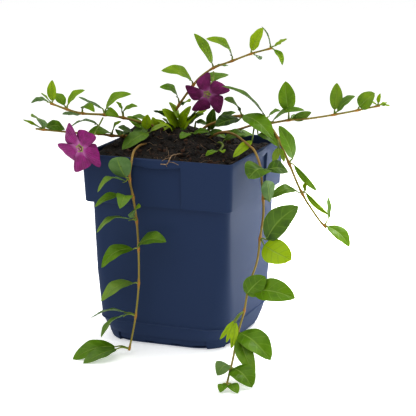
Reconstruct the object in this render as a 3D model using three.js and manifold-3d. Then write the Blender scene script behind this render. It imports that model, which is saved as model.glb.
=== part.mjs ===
// A lesser periwinkle in a square nursery pot. Millimetres, +Z up, origin at the middle of the pot's base.
// The pot's sides face X and Y. Plant points are given in the plant's own frame, which stands turned
// in the pot by plantTurn: x to the plant's right, y away from its front, z up.
import * as THREE from 'three';
import { mergeVertices } from 'three/addons/utils/BufferGeometryUtils.js';
import Module from 'manifold-3d';

const wasm = await Module();
wasm.setup();

// Driving dimensions
const potHeight = 120;
const rimHalf = 49.3;         // half the outer width at the rim
const collarFootHalf = 48.1;  // half the outer width at the collar's lower edge
const collarHeight = 30;
const bodyTopHalf = 45;       // half the outer width just under the collar
const ridgeHeight = 14.5;     // moulded ridge line round the foot
const ridgeHalf = 44.2;
const baseHalf = 42;
const wall = 1.6;
const floorThickness = 2;
const panelWidth = 32;        // recessed label panel in the middle of each collar side
const panelDepth = 2;
const strapHeight = 4;        // label strap that bridges the panel at the rim
const recessWidth = 58;       // shallow recess at the foot of each side
const recessHeight = 4.5;
const slotWidth = 3;          // drainage slots inside the foot recess
const soilLevel = 116;        // in the middle; the soil slopes down to the front right
const soilSlopeX = -3 / 44;
const soilSlopeY = 1.5 / 44;
const crownMound = 5;         // how far the soil is heaped up round the crown
const plantTurn = THREE.MathUtils.degToRad(21);
const gap = 0.35;             // clearance between touching pieces
const stemSides = 6;
const stubRadius = 0.9;        // crown shoots
const bladeThickness = 1;
const petioleRadius = 0.7;

const Z = new THREE.Vector3(0, 0, 1);

const colours = {
  pot: 0x0b2748, soil: 0x1c1612, stem: 0x93703a, shoot: 0x9aa83a, leaf: 0x4f7d12, youngLeaf: 0x86a824,
  petal: 0x74195c, calyx: 0x7d9a2a, root: 0x9c7c55,
};

const surface = (colour, roughness) => new THREE.MeshStandardMaterial({ color: colour, roughness, metalness: 0 });

// ---- helpers -------------------------------------------------------------------------------------

// A point or offset of the plant's frame, in the pot's frame.
const place = (p) => new THREE.Vector3(...p).applyAxisAngle(Z, plantTurn);

function solid(geometry) {
  const bare = geometry.clone();
  bare.deleteAttribute('normal');
  bare.deleteAttribute('uv');
  const merged = mergeVertices(bare, 1e-4);
  return new wasm.Manifold(new wasm.Mesh({
    numProp: 3,
    vertProperties: new Float32Array(merged.attributes.position.array),
    triVerts: new Uint32Array(merged.index.array),
  }));
}

function geometryOf(manifold) {
  const mesh = manifold.getMesh();
  const geometry = new THREE.BufferGeometry();
  geometry.setAttribute('position', new THREE.BufferAttribute(new Float32Array(mesh.vertProperties), 3));
  geometry.setIndex(new THREE.BufferAttribute(new Uint32Array(mesh.triVerts), 1));
  geometry.computeVertexNormals();
  return geometry;
}

// A tube of the given radius along points, as a closed solid.
function tube(points, radius, steps, sides = stemSides) {
  const section = new THREE.Shape();
  for (let i = 0; i < sides; i += 1) {
    const a = (i / sides) * Math.PI * 2;
    if (i === 0) section.moveTo(radius, 0);
    else section.lineTo(radius * Math.cos(a), radius * Math.sin(a));
  }
  const path = new THREE.CatmullRomCurve3(points);
  return solid(new THREE.ExtrudeGeometry(section, { steps, extrudePath: path, curveSegments: 1 }));
}

// An elliptical leaf blade or petal from base to tip. arch lifts its middle towards its upper face,
// which looks up and a little forward, and turn rolls it about its own length.
function blade(base, tip, width, arch = 2, turn = 0, thickness = bladeThickness) {
  const along = tip.clone().sub(base);
  const forward = along.clone().normalize();
  const skyward = place([0, -1, 2]).normalize();
  const side = forward.clone().cross(skyward).normalize();
  side.applyAxisAngle(forward, THREE.MathUtils.degToRad(turn));
  const up = side.clone().cross(forward);
  const geometry = new THREE.SphereGeometry(1, 4, 4);
  const position = geometry.attributes.position;
  const v = new THREE.Vector3();
  for (let i = 0; i < position.count; i += 1) {
    v.fromBufferAttribute(position, i);
    const t = (1 - v.y) / 2;
    const p = base.clone().addScaledVector(along, t);
    p.addScaledVector(side, (v.x * width) / 2);
    p.addScaledVector(up, (v.z * thickness) / 2 + arch * Math.sin(Math.PI * t));
    position.setXYZ(i, p.x, p.y, p.z);
  }
  const made = solid(geometry);
  return made.volume() < 0 ? solid(flipped(geometry)) : made;
}

function flipped(geometry) {
  const turned = geometry.clone();
  const index = turned.index.array;
  for (let i = 0; i < index.length; i += 3) {
    const first = index[i];
    index[i] = index[i + 1];
    index[i + 1] = first;
  }
  return turned;
}

// The largest body of a solid, without any sliver that a cut leaves beside it.
function mainBody(manifold) {
  return manifold.decompose().reduce((a, b) => (a.volume() > b.volume() ? a : b));
}

const union = (solids) => solids.reduce((sum, part) => sum.add(part));

const assembly = new THREE.Group();

function addMesh(name, manifold, material) {
  const mesh = new THREE.Mesh(geometryOf(manifold), material);
  mesh.name = name;
  assembly.add(mesh);
}

// ---- pot and soil --------------------------------------------------------------------------------

// A solid that follows rounded squares stacked from the lowest level to the highest: [z, half, corner].
function stackedSquares(levels) {
  const cornerSteps = 3;
  const ring = 4 * (cornerSteps + 1);
  const geometry = new THREE.CylinderGeometry(1, 1, 1, ring, levels.length - 1);
  geometry.rotateX(Math.PI / 2);
  const position = geometry.attributes.position;
  for (let i = 0; i < position.count; i += 1) {
    const level = levels[Math.round((position.getZ(i) + 0.5) * (levels.length - 1))];
    const [z, half, corner] = level;
    const x = position.getX(i);
    const y = position.getY(i);
    if (Math.hypot(x, y) < 0.5) {
      position.setXYZ(i, 0, 0, z);
    } else {
      const step = Math.round((Math.atan2(y, x) / (Math.PI * 2)) * ring + ring) % ring;
      const quarter = Math.floor(step / (cornerSteps + 1));
      const a = ((step % (cornerSteps + 1)) / cornerSteps) * (Math.PI / 2);
      const p = new THREE.Vector3(half - corner + corner * Math.cos(a), half - corner + corner * Math.sin(a), z);
      p.applyAxisAngle(Z, (quarter * Math.PI) / 2);
      position.setXYZ(i, p.x, p.y, p.z);
    }
  }
  return solid(geometry);
}

// The same cut or rib on all four sides of the pot.
function onFourSides(make) {
  return union([0, 1, 2, 3].map((quarter) => {
    const turned = new THREE.Matrix4().makeRotationZ((quarter * Math.PI) / 2);
    return make((geometry) => solid(geometry.clone().applyMatrix4(turned)));
  }));
}

const collarFoot = potHeight - collarHeight;
const outer = stackedSquares([
  [0, baseHalf - 1, 23],
  [2, baseHalf, 23],
  [ridgeHeight - 0.5, ridgeHalf - 0.6, 15],
  [ridgeHeight, ridgeHalf, 14],
  [collarFoot / 2, 44.6, 9],
  [collarFoot, bodyTopHalf, 6],
  [collarFoot + 0.4, collarFootHalf, 5],
  [potHeight, rimHalf, 4],
]);
const inner = stackedSquares([
  [floorThickness, baseHalf - wall, 22],
  [ridgeHeight, ridgeHalf - wall, 13],
  [collarFoot / 2, 44.6 - wall, 8],
  [collarFoot + 1, bodyTopHalf - wall, 5],
  [collarFoot + 2, collarFootHalf - wall, 4],
  [potHeight + 1, rimHalf - wall, 3],
]);
const panelBack = onFourSides((made) => made(
  new THREE.BoxGeometry(panelWidth + 4, panelDepth + wall, collarHeight - 1)
    .translate(0, rimHalf - (panelDepth + wall) / 2 - 1.2, potHeight - (collarHeight - 1) / 2),
));
const panelCut = onFourSides((made) => made(
  new THREE.BoxGeometry(panelWidth, panelDepth + 4, collarHeight + 2)
    .translate(0, rimHalf - panelDepth + (panelDepth + 4) / 2, potHeight - collarHeight / 2),
));
const strap = onFourSides((made) => made(
  new THREE.BoxGeometry(panelWidth + 2, 1, strapHeight)
    .translate(0, rimHalf - 0.55, potHeight - strapHeight / 2),
));
const footRecess = onFourSides((made) => made(
  new THREE.BoxGeometry(recessWidth, 2, 2 * recessHeight).translate(0, baseHalf + 0.4, 0),
));
const slots = onFourSides((made) => union([-1.5, -0.5, 0.5, 1.5].map((place4) => made(
  new THREE.BoxGeometry(slotWidth, 8, 3).translate(place4 * 16, baseHalf - 1, floorThickness + 0.5),
))));
const pot = outer.subtract(inner).add(panelBack.intersect(outer)).subtract(panelCut).add(strap)
  .subtract(footRecess).subtract(slots);

// The soil fills the pot and mounds up towards the crown, at the back left.
function soilTop(x, y) {
  const mound = crownMound * Math.exp(-((x + 20) ** 2 + (y - 26) ** 2) / 900);
  const slope = soilSlopeX * x + soilSlopeY * y;
  return soilLevel + slope + mound + 0.8 * Math.sin(x / 5) * Math.cos(y / 6);
}

function soilBlock() {
  const low = floorThickness + gap;
  const geometry = new THREE.BoxGeometry(2, 2, 2, 9, 9, 3);
  const position = geometry.attributes.position;
  const levels = [[low, baseHalf - wall - 1, 0.15], [45, 42.5, 0.08], [collarFoot, 43, 0.05], [0, 44, 0.04]];
  for (let i = 0; i < position.count; i += 1) {
    const u = position.getX(i);
    const v = position.getY(i);
    const step = Math.round((position.getZ(i) + 1) * 1.5);
    const [height, half, rounding] = levels[step];
    const x = u * half * (1 - rounding * v * v);
    const y = v * half * (1 - rounding * u * u);
    position.setXYZ(i, x, y, step === 3 ? soilTop(x, y) : height);
  }
  return solid(geometry);
}

// ---- the plant's plan ----------------------------------------------------------------------------
// A runner has a route, from its root in the soil to its tip, and sets of leaves where they grow.
// A leaf is [petiole end, tip, blade width, arch, turn], both places counted from its node.

const runners = {
  runner_left_trailing: {
    radius: 1.1,
    route: [[-20, 20, 108], [-22, 10, 118], [-27, -4, 121], [-30, -22, 122], [-31, -39, 122.5], [-32, -45, 117],
      [-33, -46, 108], [-31, -46, 97], [-29, -46, 82], [-28, -47, 65], [-28, -48, 43], [-30, -50, 23],
      [-32, -53, 12], [-34, -57, 3]],
    sets: {
      leaves_left_trailing_1: { at: [-33, -46, 108], leaves: [
        [[-3, -4, 2], [-7, -12, 16], 12, 2, 80], [[-3, -5, -1], [-19, -12, -4], 9, 5, 30]] },
      leaves_left_trailing_2: { at: [-31, -46, 97], leaves: [
        [[-5, -3, 0], [-23, -8, -3], 10, 3, 20], [[-4, -6, -1], [-7, -20, -2], 9, 5, 0]] },
      leaves_left_trailing_3: { at: [-29, -46, 82], leaves: [
        [[-4, -4, 2], [-24, -12, -4], 9, 5, 30], [[-2, -5, 4], [2, -16, 13], 8, 2, 30]] },
      leaves_left_trailing_4: { at: [-28, -47, 65], leaves: [
        [[0, -3, 4], [17, -13, 8], 12, 3, 0], [[-4, -2, 0], [-23, -5, -10], 10, 4, 0]] },
      leaves_left_trailing_5: { at: [-28, -48, 43], leaves: [
        [[-4, -2, 1], [-23, -10, -7], 10, 4, 10]] },
      leaves_left_trailing_6: { at: [-30, -50, 23], leaves: [
        [[-7, -1, 3], [-28, 2, -1], 8, 3, 40], [[-8, -4, 2], [-21, -16, -8], 8, 3, 40]] },
      leaves_left_trailing_7: { at: [-34, -56.5, 4], leaves: [
        [[-11, -1, 2], [-34, -9, -3], 12, 3, 0], [[-10, -4, 1], [-27, -17, -3], 10, 2, 10]] },
    },
  },
  runner_right_trailing: {
    radius: 1.1,
    route: [[8, 30, 106], [14, 26, 118], [22, 20, 124], [30, 12, 125], [36, -4, 124], [40, -18, 123], [43, -30, 122],
      [46, -38, 115], [47, -41, 107], [48, -43, 95], [48, -46, 85], [46, -51, 72], [44, -57, 59], [39, -64, 46],
      [36, -74, 33], [32, -84, 22], [29, -97, 11], [26, -112, 4], [25, -119, 2]],
    sets: {
      leaves_right_trailing_1: { at: [46.5, -40, 111], leaves: [
        [[4, -5, 3], [-8, -17, 0], 14, 3, 0], [[5, -3, 3], [17, 3, 0], 10, 2, 10]] },
      leaves_right_trailing_2: { at: [48, -43, 95], leaves: [[[5, -5, -1], [1, -13, 15], 10, 2, 80]] },
      leaves_right_trailing_3: { at: [46, -51, 72], leaves: [
        [[5, -3, 0], [21, -12, 23], 13, 2, 0], [[3, -5, -4], [18, -16, -9], 14, 2, 30]] },
      leaves_right_trailing_4: { at: [39, -64, 46], leaves: [
        [[4, -4, -2], [27, -15, -3], 14, 4, 20], [[-3, -5, -1], [4, -17, 9], 10, 2, 0]] },
      side_shoot_right_trailing: { at: [36, -74, 33], leaves: [
        [[-8, -8, -5], [-15, -14, -13], 3, 1, 0], [[-9, -9, -7], [-11, -17, -14], 3, 1, 0],
        [[-7, -9, -6], [-8, -19, -17], 4, 1, 0]] },
      leaves_right_trailing_5: { at: [32, -84, 22], leaves: [
        [[2, -3, 2], [19, -20, -8], 15, 4, 0], [[2, -4, 0], [9, -28, -16], 9, 3, 10]] },
      leaves_right_trailing_6: { at: [27.5, -105, 7], leaves: [
        [[-1, -2, 4], [-8, -7, -1], 9, 3, 0], [[2, -3, 2], [12, -16, -5], 13, 3, 0]] },
      leaves_right_trailing_7: { at: [25.2, -118, 2.5], leaves: [
        [[-3, -2, 1], [-4, -10, -1], 5, 1, 0], [[3, -2, 1], [6, -11, -1], 6, 1, 0]] },
    },
  },
  runner_upper_left: {
    radius: 1,
    route: [[-14, 30, 108], [-17, 27, 120], [-21, 24, 128], [-28, 19, 131], [-39, 8, 136], [-50, -4, 140],
      [-63, -16, 143], [-72, -24, 147], [-81, -32, 152]],
    sets: {
      leaves_upper_left_1: { at: [-39, 8, 136], leaves: [
        [[0, -2, 6], [9, -6, 9], 5, 1, 0], [[-1, -1, 5], [-4, -4, 11], 4, 1, 0]] },
      leaves_upper_left_2: { at: [-50, -4, 140], leaves: [
        [[1, -1, 5], [17, -4, 14], 8, 4, 0], [[-2, 2, 5], [-17, 12, 10], 6, 0, 60],
        [[2, -2, 4], [9, -10, 1], 5, 3, 40]] },
      leaves_upper_left_3: { at: [-63, -16, 143], leaves: [
        [[0, -2, 5], [8, -10, 3], 6, 3, 0], [[-2, 2, -1], [-13, 9, -1], 5, 0, 60]] },
      leaves_upper_left_4: { at: [-72, -24, 147], leaves: [
        [[1, -1, 4], [11, -4, 13], 7, 2, 0], [[-2, 1, 3], [-8, 6, 9], 6, 1, 0]] },
      leaves_upper_left_tip: { at: [-80.5, -31.5, 151.7], leaves: [
        [[1, 0, 2], [1, -4, 15], 5, 0, 0], [[-1, -1, 2], [-5, -6, 8], 3, 0, 0],
        [[-2, 1, 1], [-13, 6, 0], 5, 2, 60]] },
    },
  },
  runner_lower_left: {
    radius: 0.9,
    route: [[-16, 26, 106], [-20, 22, 118], [-30, 11, 123], [-39, 4, 125], [-46, 0, 126], [-54, -4, 128],
      [-62, -9, 129], [-77, -17, 132], [-87, -22, 134], [-91, -25, 135]],
    sets: {
      leaves_lower_left_1: { at: [-39, 4, 125], leaves: [[[2, -3, 2], [-2, -14, 4], 8, 2, 0]] },
      leaves_lower_left_2: { at: [-46, 0, 126], leaves: [
        [[-1, -3, 3], [-14, -12, 4], 8, 2, 0], [[1, -1, 5], [6, -4, 10], 4, 1, 0]] },
      leaves_lower_left_3: { at: [-54, -4, 128], leaves: [[[-1, 0, 8], [-17, -8, 7], 6, 3, 40]] },
      leaves_lower_left_tip: { at: [-87, -22, 134], leaves: [
        [[-2, -2, 2], [-11, -8, 8], 3, 0, 0], [[0, -1, 2], [-5, -12, 11], 9, 2, 0],
        [[2, 1, 2], [13, 7, -1], 7, 2, 20]] },
    },
  },
  runner_upright: {
    radius: 1,
    route: [[-8, 38, 106], [-8, 38, 122], [-7, 37, 131], [-6, 36, 136], [-2, 34, 143], [5, 31, 153], [10, 29, 159],
      [18, 26, 165], [30, 23, 170], [42, 20, 175], [55, 17, 179]],
    sets: {
      leaves_upright_1: { at: [-4, 35, 140], leaves: [
        [[-1, -2, 6], [-12, -7, 13], 8, 3, 0], [[3, -3, 0], [7, -11, 4], 6, 1, 0]] },
      leaves_upright_2: { at: [5, 31, 153], leaves: [
        [[-1, -1, 4], [-20, -5, 11], 10, 4, 0], [[3, 2, 2], [23, 7, 7], 8, 1, 0]] },
      leaves_upright_3: { at: [18, 26, 165], leaves: [
        [[-1, -1, 4], [-12, -6, 23], 9, 2, 0], [[3, 1, 2], [10, 6, 1], 3, 0, 0]] },
      leaves_upright_4: { at: [30, 23, 170], leaves: [[[0, -1, 4], [-16, -9, 16], 9, 4, 0]] },
      leaves_upright_5: { at: [42, 20, 175], leaves: [
        [[0, -1, 3], [7, -4, 17], 9, 1, 0], [[1, 2, -1], [6, 11, -5], 7, 1, 0]] },
      leaves_upright_tip: { at: [54, 17.3, 178.8], leaves: [
        [[0, 1, 3], [-5, 3, 14], 4, 1, 60], [[3, -1, 2], [10, -4, 7], 4, 0, 0], [[3, 0, -1], [8, -3, -10], 4, 2, 0]] },
    },
  },
  runner_right_arching: {
    radius: 1.1,
    route: [[2, 34, 106], [6, 32, 117], [13, 25, 127], [22, 18, 132], [30, 12, 136], [38, 6, 137], [46, 0, 136],
      [53, -5, 133], [58, -9, 126], [65, -14, 111], [73, -19, 93], [83, -24, 78], [88, -27, 73]],
    sets: {
      leaves_right_arching_1: { at: [36, 7.5, 137], leaves: [
        [[-2, -2, 5], [-11, -10, 13], 9, 2, 0], [[-2, -3, -2], [-17, -12, -4], 10, 1, 0],
        [[1, -6, 2], [19, -25, -8], 12, 3, 0]] },
      leaves_right_arching_2: { at: [50, -3, 135], leaves: [
        [[0, 1, 6], [-26, -3, 25], 9, 3, 0], [[3, -1, 5], [9, -6, 9], 5, 1, 0]] },
      shoot_hanging: { at: [45, 0.7, 136.3], leaves: [
        [[1, -9, -11], [13, -14, -14], 7, 2, 0], [[-4, -11, -16], [-15, -19, -20], 6, 1, 0]] },
      shoot_pale: { at: [58, -9, 126], leaves: [
        [[0, -5, -7], [-3, -8, -14], 4, 0, 0], [[1, -4, -7], [4, -6, -14], 3, 0, 0]] },
      leaves_right_arching_3: { at: [65, -14, 111], leaves: [
        [[3, -4, 5], [-6, -6, 25], 10, 2, 0], [[4, -1, -1], [18, 0, -18], 7, 3, 50]] },
      leaves_right_arching_4: { at: [73, -19, 93], leaves: [
        [[-2, -2, 1], [-20, -13, 1], 8, 4, 0], [[3, -1, 1], [16, -8, -12], 6, 2, 50], [[2, 0, 2], [2, -3, 8], 4, 0, 0]] },
      leaves_right_arching_tip: { at: [87, -26.5, 74], leaves: [
        [[2, -1, 0], [15, -9, -11], 9, 2, 0], [[3, 3, 5], [4, 12, 16], 5, 0, 60]] },
    },
  },
  runner_long_right: {
    radius: 1,
    route: [[5, 38, 104], [9, 37, 116], [19, 34, 121], [28, 31, 123], [35, 28, 125], [43, 25, 128], [54, 21, 130],
      [66, 16, 133], [78, 10, 135], [94, 2, 139], [108, -5, 143], [121, -11, 147]],
    sets: {
      leaves_long_right_1: { at: [53, 21.3, 130], leaves: [[[3, -4, 2], [22, -17, 12], 7, 3, 0]] },
      leaves_long_right_2: { at: [66, 16, 133], leaves: [
        [[0, 0, 7], [-2, -2, 25], 10, 0, 0], [[3, -1, 1], [14, -5, 6], 5, 1, 60], [[2, 3, 1], [9, 9, -1], 6, 1, 0]] },
      leaves_long_right_3: { at: [94, 2, 139], leaves: [
        [[0, 0, 4], [1, 0, 20], 7, 0, 0], [[2, -2, 3], [12, -6, 13], 8, 1, 0]] },
      leaves_long_right_4: { at: [108, -5, 143], leaves: [[[1, -1, 3], [9, -7, 12], 8, 2, 0]] },
      leaves_long_right_tip: { at: [120, -10.6, 146.7], leaves: [
        [[0, 0, 2], [0, -1, 6], 2, 0, 0], [[2, 0, 1], [5, -3, 1], 2, 0, 0]] },
    },
  },
};

// Short crown shoots that stand up out of the soil: a stub and the leaves at its head.
const crownShoots = {
  crown_rosette: { stub: [[-1, 42, 110], [-1, 41, 124]], leaves: [
    [[-3, -2, 3], [-9, -9, 18], 9, 1, 0], [[3, -3, 4], [10, -13, 15], 7, 1, 0], [[4, -1, 2], [14, -6, 13], 6, 1, 0],
    [[-4, 0, 2], [-17, 1, 11], 6, 2, 0]] },
  crown_left_shoot: { stub: [[-24, 17, 108], [-25, 16, 124]], leaves: [
    [[0, -1, 4], [1, -3, 13], 6, 0, 0], [[-2, 2, 4], [-12, 5, 11], 6, 1, 0],
    [[2, -8, 2], [-14, -26, -4], 10, 3, 0], [[3, -3, 2], [12, -10, 8], 7, 1, 0]] },
  shoot_front: { stub: [[18, 24, 108], [20, 20, 116], [22, 13, 119], [24, 4, 119], [22, -3, 117]], leaves: [
    [[-2, -2, 0], [-9, -11, -1], 4, 1, 0], [[1, -3, 0], [2, -11, 1], 4, 1, 0]] },
  crown_front_shoot: { stub: [[2, 26, 106], [2, 25, 122.5]], leaves: [
    [[0, -3, 1], [-5, -14, 0], 6, 1, 0], [[4, -2, 1], [13, -8, 3], 6, 1, 0]] },
};

// ---- building the plant --------------------------------------------------------------------------

const runnerSolids = {};
const clearance = {};
for (const [name, runner] of Object.entries(runners)) {
  const points = runner.route.map(place);
  const steps = Math.round(runner.route.length * 1.8);
  runnerSolids[name] = tube(points, runner.radius, steps);
  clearance[name] = tube(points, runner.radius + gap * 1.2, steps);
}
for (const [name, shoot] of Object.entries(crownShoots)) {
  clearance[name] = tube(shoot.stub.map(place), stubRadius + gap * 1.2, shoot.stub.length);
}
const allClearance = union(Object.values(clearance));

// One leaf: a petiole from its node and a blade.
function leafSolids(node, [petioleEnd, tip, width, arch, turn]) {
  const joint = place(petioleEnd).add(node);
  const end = place(tip).add(node);
  const inside = joint.clone().lerp(end, 0.2);
  return [tube([node, joint, inside], petioleRadius, 2, 3), blade(joint, end, width, arch, turn)];
}

// The leaves of one node, joined by the swollen ring that they grow from, which the stem runs through.
function leafSet(set, runner, others) {
  const node = place(set.at);
  const ring = solid(new THREE.SphereGeometry(runner.radius + 1.1, 6, 3).translate(node.x, node.y, node.z));
  const leaves = set.leaves.flatMap((leaf) => leafSolids(node, leaf));
  return mainBody(union([ring, ...leaves]).subtract(others));
}

const leafMaterial = surface(colours.leaf, 0.4);
const stemMaterial = surface(colours.stem, 0.6);

let soil = soilBlock().subtract(allClearance);

addMesh('pot', pot, surface(colours.pot, 0.35));

for (const [name, runner] of Object.entries(runners)) {
  addMesh(name, runnerSolids[name], stemMaterial);
  for (const [setName, set] of Object.entries(runner.sets)) {
    addMesh(setName, leafSet(set, runner, allClearance), leafMaterial);
  }
}

for (const [name, shoot] of Object.entries(crownShoots)) {
  const head = place(shoot.stub.at(-1));
  const stub = tube(shoot.stub.map(place), stubRadius, shoot.stub.length);
  const leaves = shoot.leaves.flatMap((leaf) => leafSolids(head, leaf));
  const runnersOnly = union(Object.keys(runners).map((key) => clearance[key]));
  addMesh(name, mainBody(union([stub, ...leaves]).subtract(runnersOnly)), surface(colours.youngLeaf, 0.4));
}

// ---- flowers -------------------------------------------------------------------------------------
// A flower hangs on a thin stalk from a leaf node. Its calyx holds the tube of a five-lobed corolla.

const flowers = {
  left: { stalk: [[-51, -6, 138.5], [-53, -11, 135], [-56, -20, 130], [-58, -28, 128.5]],
    centre: [-63, -41, 126], facing: [-5, -8, -2], spin: -17 },
  front: { stalk: [[18, 24, 163], [18, 21, 160], [17, 18, 156]], centre: [14, 8, 151], facing: [-1, -10, -2], spin: 31 },
};
const lobeLength = 13;
const lobeWidth = 11;
const corollaTubeRadius = 1.6;

function corolla(flower, calyxEnd) {
  const centre = place(flower.centre);
  const facing = place(flower.facing).normalize();
  const right = new THREE.Vector3().crossVectors(Z, facing).normalize();
  const start = calyxEnd.clone().lerp(centre, 0.2);
  const parts = [tube([start, centre.clone().addScaledVector(facing, 0.4)], corollaTubeRadius, 1)];
  for (let i = 0; i < 5; i += 1) {
    const a = (i / 5) * Math.PI * 2 + THREE.MathUtils.degToRad(flower.spin);
    const out = right.clone().applyAxisAngle(facing, a);
    const base = centre.clone().addScaledVector(out, -0.5);
    const tip = centre.clone().addScaledVector(out, lobeLength).addScaledVector(facing, 0.5);
    const across = out.clone().cross(facing);
    parts.push(petal(base, tip, across, facing));
  }
  return union(parts);
}

function petal(base, tip, across, facing) {
  const geometry = new THREE.SphereGeometry(1, 6, 5);
  const position = geometry.attributes.position;
  const v = new THREE.Vector3();
  for (let i = 0; i < position.count; i += 1) {
    v.fromBufferAttribute(position, i);
    const t = (1 - v.y) / 2;
    const widening = 0.55 + 0.65 * t;
    const p = base.clone().lerp(tip, t);
    p.addScaledVector(across, (v.x * lobeWidth * widening) / 2);
    p.addScaledVector(facing, v.z * 0.5);
    position.setXYZ(i, p.x, p.y, p.z);
  }
  const made = solid(geometry);
  return made.volume() < 0 ? solid(flipped(geometry)) : made;
}

for (const [name, flower] of Object.entries(flowers)) {
  const points = flower.stalk.map(place);
  const calyxEnd = points[points.length - 1];
  const calyxFoot = calyxEnd.clone().lerp(place(flower.centre), -0.1);
  const sepals = tube([calyxFoot, calyxEnd.clone().lerp(place(flower.centre), 0.16)], 1.5, 1);
  addMesh(`calyx_and_stalk_${name}`, tube(points, 0.6, 5, 4).add(sepals).subtract(allClearance),
    surface(colours.calyx, 0.5));
  addMesh(`corolla_${name}`, corolla(flower, calyxEnd), surface(colours.petal, 0.6));
}

// ---- root over the rim ---------------------------------------------------------------------------

const rootRoute = [[0, 8, 108], [-2, -10, 116], [-6, -32, 120], [-8, -48, 122], [-10, -54, 119], [-14, -52, 118.5]];
const root = tube(rootRoute.map(place), 0.6, 14, 5);
soil = soil.subtract(tube(rootRoute.map(place), 0.6 + gap * 1.3, 14, 5));
addMesh('root_over_rim', root, surface(colours.root, 0.7));
addMesh('potting_soil', mainBody(soil), surface(colours.soil, 0.95));

export default assembly;
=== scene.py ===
import math
import random
from collections import namedtuple

import bmesh
import bpy
from mathutils import Matrix, Vector, noise


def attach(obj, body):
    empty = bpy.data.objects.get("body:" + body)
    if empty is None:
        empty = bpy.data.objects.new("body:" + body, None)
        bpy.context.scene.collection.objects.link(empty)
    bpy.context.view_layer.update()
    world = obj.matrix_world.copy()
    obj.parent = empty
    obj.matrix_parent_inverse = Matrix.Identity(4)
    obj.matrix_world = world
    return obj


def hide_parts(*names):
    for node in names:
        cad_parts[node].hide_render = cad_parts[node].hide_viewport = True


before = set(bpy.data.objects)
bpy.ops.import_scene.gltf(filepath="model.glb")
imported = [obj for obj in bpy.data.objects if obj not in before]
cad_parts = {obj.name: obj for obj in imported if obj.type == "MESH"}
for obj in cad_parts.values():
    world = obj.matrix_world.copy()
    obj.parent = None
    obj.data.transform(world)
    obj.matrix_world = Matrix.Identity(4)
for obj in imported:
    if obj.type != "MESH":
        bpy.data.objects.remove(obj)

bl_info = {
    "name": "Potted Periwinkle",
    "version": (1, 0, 0),
    "blender": (4, 5, 0),
    "location": "3D View > Sidebar > Periwinkle",
    "description": "Builds the looks of a lesser periwinkle in a square nursery pot",
    "category": "Object",
}

MM = 0.001
PLANT_TURN = math.radians(21)  # the plant stands turned in its pot
UP = Vector((0, 0, 1))
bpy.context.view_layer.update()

# ---- The pot's sizes, in millimetres ---------------------------------------------------------------

POT_HEIGHT = 120
COLLAR_FOOT = 90
RIM_HALF = 49.3
COLLAR_FOOT_HALF = 48.1
BODY_TOP_HALF = 45
RIDGE_HEIGHT = 14.5
RIDGE_HALF = 44.2
BASE_HALF = 42
WALL = 1.6
FLOOR_THICKNESS = 2
PANEL_HALF = 16
PANEL_DEPTH = 2
RECESS_HALF = 29
RECESS_HEIGHT = 5.5
SOIL_LEVEL = 116
SOIL_FLOOR = 2.4
SOIL_RINGS = 34
LEAF_FULLNESS = 1.15  # real blades are fuller than the plan's widths

# ---- The plant's plan, in millimetres --------------------------------------------------------------
# Points are in the plant's own frame: x to its right, y away from its front, z up. A runner has a
# route from its root to its tip, and sets of leaves where they grow. A leaf's places count from its
# node. tone runs from dark (0) to fresh yellow green (1): partly the leaf's own colour, partly
# painted shade on leaves that hang in shade. pale is a painted grey sheen, the bright surroundings
# reflected on a glossy face.

Leaf = namedtuple("Leaf", "petiole tip width arch turn tone pale fold twist blunt", defaults=(0.5, 0, 14, 10, 0.2))

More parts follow.
